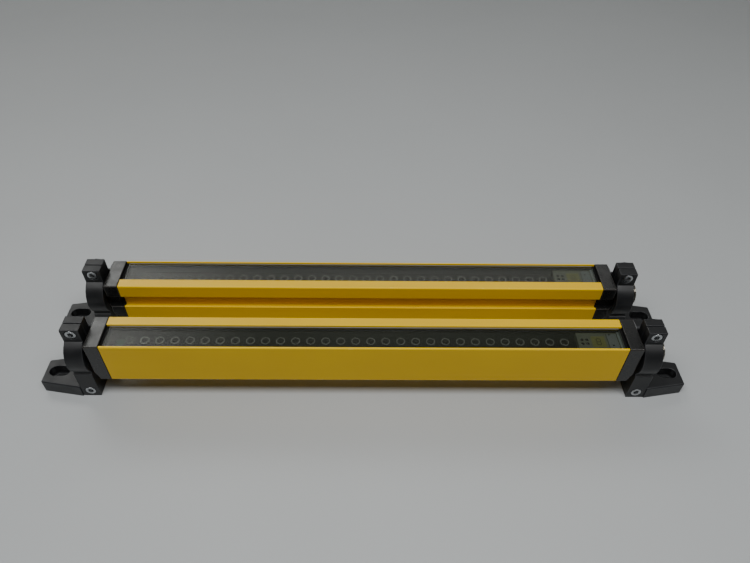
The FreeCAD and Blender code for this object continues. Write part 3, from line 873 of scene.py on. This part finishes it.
@dataclass
class PaneBead:
    """Clear silicone bead along both long edges of the window, where it meets the channel; its pale grey
    colour paints the highlight line there.

    Its section is a quarter of an ellipse, wide along the pane and high up the channel wall, with
    their corner as its centre. It starts sink below the pane's top.
    """

    bar: Bar
    wide: float = 1.0
    high: float = 0.7
    sink: float = 0.05
    end_gap: float = 0.3
    steps: int = 6

    def build(self) -> None:
        """Makes both beads as one mesh."""
        low, top = self.bar.box("window")
        turn = np.linspace(0, np.pi / 2, self.steps)
        section = np.stack([self.wide * np.cos(turn), self.high * np.sin(turn)], axis=-1)
        section = np.concatenate([[[0.0, 0.0]], section]) - [0.0, self.sink]
        beads = []
        for edge, inward in ((low[1], 1), (top[1], -1)):
            loops = np.stack([np.column_stack([
                np.full(len(section), x), edge + inward * section[:, 0], top[2] + section[:, 1]])
                for x in (low[0] + self.end_gap, top[0] - self.end_gap)])
            points, faces = lofted(loops)
            beads.append((points, [face[::inward] for face in faces]))
        # The bead's pale finish paints the highlight along the channel's edges.
        make_piece(self.bar.node("pane_bead"), *joined(beads), BEAD_PAINTED_HIGHLIGHT, self.bar.body, Slot.SEAL)


@dataclass
class SocketShell:
    """Round socket shell with a screw thread on its collar.

    The skin joins equal loops round a closed profile. On the collar the radius follows a thread: it
    falls and rises with distance along X, less the pitch for each turn round the axis. The thread
    fades in over run_out, and out over lead_in, where the collar narrows by tip_taper.
    """

    bar: Bar
    outer: float = 13.0
    seat: float = 11.9
    bore: float = 10.4
    bore_chamfer: float = 0.5
    thread_pitch: float = 1.0
    thread_depth: float = 0.55
    thread_rows: int = 56
    run_out: float = 0.6
    lead_in: float = 0.8
    tip_taper: float = 0.7
    steps: int = 96

    def radii(self, x: np.ndarray, angle: np.ndarray, start: float, end: float) -> np.ndarray:
        """Radius of the thread at each distance and angle.

        Args:
            x: Distances along the axis, as a column.
            angle: Angles round the axis, as a row.
            start: Where the thread starts.
            end: Where the collar ends.

        Returns:
            Radii, one for each distance and angle.
        """
        phase = (x - start) / self.thread_pitch - angle / (2 * np.pi)
        wave = 1 - np.abs(2 * (phase % 1.0) - 1)
        fade = np.clip((x - start) / self.run_out, 0, 1) * np.clip((end - x) / self.lead_in, 0, 1)
        taper = np.clip((x - (end - self.lead_in)) / self.lead_in, 0, 1) * self.tip_taper
        return self.outer - taper - self.thread_depth * wave * fade

    def build(self) -> None:
        """Makes the threaded shell, which stands for the CAD shell."""
        low, high = self.bar.box("socket_shell")
        y, z = (low[1] + high[1]) / 2, (low[2] + high[2]) / 2
        collar_start = self.bar.box("socket_cap")[1][0]
        angle = 2 * np.pi * np.arange(self.steps) / self.steps
        along = np.linspace(collar_start, high[0], self.thread_rows)[:, None]
        thread = self.radii(along, angle[None, :], collar_start, high[0])
        flat = np.array([
            [high[0], self.bore + self.bore_chamfer], [high[0] - self.bore_chamfer, self.bore],
            [low[0], self.bore], [low[0], self.seat], [collar_start, self.seat]])
        x = np.concatenate([along[:, 0], flat[:, 0]])
        radius = np.concatenate([thread, np.repeat(flat[:, 1:], self.steps, axis=1)])
        loops = np.stack([np.repeat(x[:, None], self.steps, axis=1), y + radius * np.cos(angle),
                          z + radius * np.sin(angle)], axis=-1)
        points, faces = lofted(loops, closed_along=True)
        piece = make_piece(self.bar.node("threaded_shell"), points,
                           [face[::-1] for face in faces], NICKEL_BRASS, self.bar.body, Slot.SHELL)
        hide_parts(self.bar.node("socket_shell"))


@dataclass
class SocketPins:
    """Round contact pins with domed tips."""

    bar: Bar
    radius: float = 0.7
    circle: float = 6.0
    count: int = 8

    def build(self) -> None:
        """Makes the pins, which stand for the CAD pins."""
        low, high = self.bar.box("socket_pins")
        y, z = (low[1] + high[1]) / 2, (low[2] + high[2]) / 2
        length = high[0] - low[0]
        tip = np.linspace(0, np.pi / 2, 5)
        profile = np.concatenate([
            np.stack([self.radius * np.sin(tip), length - self.radius * (1 - np.cos(tip))], axis=-1),
            [[self.radius, 0.0], [0.0, 0.0]]])
        points, faces = turned(profile, 16)
        points = points[:, [2, 0, 1]]
        angle = 2 * np.pi * np.arange(self.count) / self.count
        places = np.stack([np.full(self.count, low[0]), y + self.circle * np.cos(angle),
                           z + self.circle * np.sin(angle)], axis=-1)
        piece = make_piece(self.bar.node("contact_pins"), *repeated(points, faces, places),
                           GOLD_CONTACT, self.bar.body, Slot.CONTACT)
        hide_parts(self.bar.node("socket_pins"))


@dataclass
class ClampScrews:
    """Cap screws with knurled round heads and hexagon sockets.

    A screw is a row of loops about its axis. The knurl lowers every other point of the outer loops of
    the head by its depth, and the loops of the socket follow a hexagon of the given inner radius.
    """

    bar: Bar
    head: float = 5.5
    head_long: float = 6.0
    shank: float = 2.95
    socket: float = 2.5
    socket_deep: float = 3.0
    knurl_deep: float = 0.18
    steps: int = 72

    def loops(self, length: float) -> np.ndarray:
        """Loops of one screw along its axis, from the socket's floor out and round to the tip.

        Args:
            length: Length of the whole screw.

        Returns:
            Array of loops by points by three, with the axis along the first column.
        """
        angle = 2 * np.pi * np.arange(self.steps) / self.steps
        sector = (angle + np.pi / 6) % (np.pi / 3) - np.pi / 6
        hexagon = self.socket / np.cos(sector)
        ring = np.ones(self.steps)
        knurl = self.head - self.knurl_deep * (np.arange(self.steps) % 2)
        # Distance along the axis from the head's top, and radius there.
        table = [
            (self.socket_deep, hexagon), (0.3, hexagon), (0.0, hexagon + 0.35),
            (0.0, ring * (self.head - 0.55)), (0.14, ring * (self.head - 0.26)),
            (0.5, ring * (self.head - 0.08)), (0.6, knurl), (self.head_long - 0.7, knurl),
            (self.head_long - 0.3, ring * (self.head - 0.15)), (self.head_long, ring * (self.head - 0.4)),
            (self.head_long, ring * self.shank), (length - 0.6, ring * self.shank),
            (length, ring * (self.shank - 0.6)),
        ]
        depth = np.array([row[0] for row in table])[:, None] * np.ones(self.steps)
        radius = np.stack([row[1] for row in table])
        return np.stack([depth, radius * np.cos(angle), radius * np.sin(angle)], axis=-1)

    def build(self) -> None:
        """Makes the four screws of one bar's brackets, which stand for the CAD screws."""
        node = self.bar.node("clamp_screws")
        co = np.empty(len(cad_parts[node].data.vertices) * 3)
        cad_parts[node].data.vertices.foreach_get("co", co)
        co = co.reshape(-1, 3) / MM
        middle = (co.min(0) + co.max(0)) / 2
        screws = []
        for left in (True, False):
            for upper in (True, False):
                own = co[((co[:, 0] < middle[0]) == left) & ((co[:, 2] > middle[2]) == upper)]
                low, high = own.min(0), own.max(0)
                points, faces = lofted(self.loops(high[1] - low[1]))
                placed = np.stack([(low[0] + high[0]) / 2 + points[:, 1], low[1] + points[:, 0],
                                   (low[2] + high[2]) / 2 + points[:, 2]], axis=-1)
                screws.append((placed, faces))
        piece = make_piece(self.bar.node("clamp_cap_screws"), *joined(screws), ZINC_STEEL, BRACKETS,
                           Slot.SCREW)
        work = bmesh.new()
        work.from_mesh(piece.data)
        bmesh.ops.recalc_face_normals(work, faces=work.faces)
        work.to_mesh(piece.data)
        work.free()
        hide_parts(node)


@dataclass
class Dressing:
    """Puts finishes on the CAD nodes of one bar and soft edges on its mouldings and its profile.

    The chamber's sides are measured from the middle of the sender's profile, and edges are radii.
    """

    bar: Bar
    profile_edge: float = 0.35
    cap_edge: float = 0.4
    bracket_edge: float = 0.6
    chamber_y: tuple[float, float] = (-17.70, 11.70)
    chamber_z: tuple[float, float] = (-23.40, 19.40)

    def coat(self, worn_and_highlight: bool) -> PowderCoat:
        """Powder coat of this bar, plain, or for the edges rubbed and brighter as a painted highlight.

        Args:
            worn_and_highlight: Whether it is the finish of the edges.

        Returns:
            The finish.
        """
        y = sorted(self.bar.side * v for v in self.chamber_y)
        centre = self.bar.centre
        middle = (float(centre[1] + sum(y) / 2), float(centre[2] + sum(self.chamber_z) / 2))
        half = ((y[1] - y[0]) / 2, (self.chamber_z[1] - self.chamber_z[0]) / 2)
        # Polyester powder coat on extruded aluminium: even satin yellow with a faint orange peel. Its
        # edge finish is a brighter yellow with pale scuffs, partly rubbing and partly a painted
        # highlight.
        name = f"powder_coated_aluminium_{'edge_' if worn_and_highlight else ''}{self.bar.name}"
        return PowderCoat(
            name, "#ecc406" if worn_and_highlight else "#deb400", "#f0ca0a" if worn_and_highlight else "#d9ae00",
            0.2 if worn_and_highlight else 0.24, 0.03, mottle_mm=60.0, grain_mm=1.2, grain_depth_mm=0.012,
            drawn=2.0, specular=0.28, scuffs=0.3 if worn_and_highlight else 0.0,
            scuff_colour="#ffe88a" if worn_and_highlight else "#ffd84a",
            middle_mm=middle, chamber_mm=half)

    def build(self) -> None:
        """Dresses all CAD nodes of the bar and of its brackets."""
        for piece, finish in CAD_FINISHES.items():
            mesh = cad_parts[self.bar.node(piece)].data
            mesh.materials.clear()
            mesh.materials.append(finish.material())
        profile = SoftEdges(self.profile_edge, self.coat(False), self.coat(True), Slot.PROFILE)
        profile.dress(self.bar.node("housing"), self.bar.body)
        caps = SoftEdges(self.cap_edge, CAP_PBT, CAP_WORN_EDGE_AND_HIGHLIGHT, Slot.CAP)
        for piece in ("plain_cap", "socket_cap"):
            caps.dress(self.bar.node(piece), self.bar.body)
        brackets = SoftEdges(self.bracket_edge, BRACKET_NYLON, BRACKET_WORN_EDGE_AND_HIGHLIGHT, Slot.BRACKET)
        for piece in ("left_foot", "right_foot", "left_strap", "right_strap"):
            brackets.dress(self.bar.node(piece), BRACKETS)


@dataclass
class Studio:
    """Pale floor, soft light and the camera of the photograph.

    Each of the glows is an axis, the part of it where a glow starts and where it is full, and its
    strength: the rear wall, its left corner along X and along Y, and the height of both.
    """

    focal_px: float = 627.7
    frame_px: int = 750
    sensor_mm: float = 36.0
    place_mm: tuple[float, float, float] = (0.937, -446.797, 556.453)
    pitch_deg: float = 44.95
    yaw_deg: float = 1.315
    roll_deg: float = -1.29
    air: float = 0.10
    glows: tuple[tuple[str, float, float, float], ...] = (
        ("Y", 0.56, 0.76, 2.3), ("X", -0.12, -0.80, 14.0), ("Y", 0.40, 0.60, 1.0),
        ("Z", 0.50, 0.68, 1.0))
    panel_place: tuple[float, float, float] = (0.0, -0.42, 1.5)
    panel_size: tuple[float, float] = (1.8, 0.5)
    panel_watts: float = 25.0
    floor_half: float = 4.0

    def camera(self) -> None:
        """Sets the camera at the angle fitted to the photograph."""
        pitch, yaw, roll = map(math.radians, (self.pitch_deg, self.yaw_deg, self.roll_deg))
        ahead = np.array([math.sin(yaw) * math.cos(pitch), math.cos(yaw) * math.cos(pitch),
                          -math.sin(pitch)])
        level = np.array([math.cos(yaw), -math.sin(yaw), 0.0])
        down = np.cross(ahead, level)
        right = level * math.cos(roll) + down * math.sin(roll)
        up = level * math.sin(roll) - down * math.cos(roll)
        turn = np.eye(4)
        turn[:3, 0], turn[:3, 1], turn[:3, 2] = right, up, -ahead
        turn[:3, 3] = np.array(self.place_mm) * MM
        data = bpy.data.cameras.new("photo_camera")
        data.sensor_width = self.sensor_mm
        data.lens = self.focal_px * data.sensor_width / self.frame_px
        data.clip_start, data.clip_end = 0.01, 20.0
        camera = bpy.data.objects.new("photo_camera", data)
        camera.matrix_world = Matrix(turn.tolist())
        bpy.context.scene.collection.objects.link(camera)
        bpy.context.scene.camera = camera

    def ceiling_panel(self) -> None:
        """Hangs one soft rectangular light, in metres, that faces the middle of the pair."""
        data = bpy.data.lights.new("ceiling_panel", "AREA")
        data.shape = "RECTANGLE"
        data.size, data.size_y = self.panel_size
        data.energy = self.panel_watts
        lamp = bpy.data.objects.new("ceiling_panel", data)
        back = np.array(self.panel_place) / np.linalg.norm(self.panel_place)
        side = np.cross([0.0, 1.0, 0.0], back)
        side /= np.linalg.norm(side)
        turn = np.eye(4)
        turn[:3, 0], turn[:3, 1], turn[:3, 2] = side, np.cross(back, side), back
        turn[:3, 3] = self.panel_place
        lamp.matrix_world = Matrix(turn.tolist())
        bpy.context.scene.collection.objects.link(lamp)

    def floor(self) -> None:
        """Lays a pale plain floor under the feet."""
        # Lacquered board: pale grey, nearly matt.
        paint = Finish("pale_lacquered_floor", "#aaadae", "#adb0b1", 0.5, 0.03, mottle_mm=400.0,
                       grain_mm=3.0, grain_depth_mm=0.01)
        mesh = bpy.data.meshes.new("floor")
        corners = rectangle(-self.floor_half, self.floor_half, -self.floor_half, self.floor_half)
        mesh.from_pydata([(x, y, 0.0) for x, y in corners.tolist()], [], [(0, 1, 2, 3)])
        mesh.materials.append(paint.material())
        floor = bpy.data.objects.new("floor", mesh)
        bpy.context.scene.collection.objects.link(floor)

    def sky(self) -> None:
        """Fills the room with pale light that grows towards the rear wall and its left corner."""
        world = bpy.data.worlds.new("studio")
        world.use_nodes = True
        tree = world.node_tree
        tree.nodes.clear()
        place = add(tree, "ShaderNodeTexCoord")
        ahead = add(tree, "ShaderNodeSeparateXYZ", {"Vector": place.outputs["Generated"]})
        glows = []
        for axis, low, high, strength in self.glows:
            glows.append(add(tree, "ShaderNodeMapRange", {
                "Value": ahead.outputs[axis], "From Min": low, "From Max": high, "To Min": 0.0,
                "To Max": strength}, interpolation_type="SMOOTHSTEP").outputs["Result"])
        corner = add(tree, "ShaderNodeMath", {0: glows[1], 1: glows[2]}, operation="MULTIPLY")
        wall = add(tree, "ShaderNodeMath", {0: glows[0], 1: corner.outputs[0]}, operation="ADD")
        total = add(tree, "ShaderNodeMath", {0: wall.outputs[0], 1: glows[3], 2: self.air},
                    operation="MULTIPLY_ADD")
        air = add(tree, "ShaderNodeBackground", {
            "Color": linear("#f0f1ee"), "Strength": total.outputs[0]})
        add(tree, "ShaderNodeOutputWorld", {"Surface": air.outputs["Background"]})
        bpy.context.scene.world = world

    def build(self) -> None:
        """Sets up the whole studio."""
        self.camera()
        self.floor()
        self.sky()
        self.ceiling_panel()


def main() -> None:
    """Builds the studio and both bars, and reports each piece."""
    logging.basicConfig(level=logging.INFO, format="%(name)s %(message)s")
    Studio().build()
    for bar in (Bar("sender", 1), Bar("receiver", -1)):
        for part in (Dressing(bar), LensRow(bar), StatusDisplay(bar), PaneBead(bar),
                     SocketShell(bar), SocketPins(bar), ClampScrews(bar)):
            part.build()
            LOG.info("%s: %s built", bar.name, type(part).__name__)


if __name__ == "__main__":
    main()
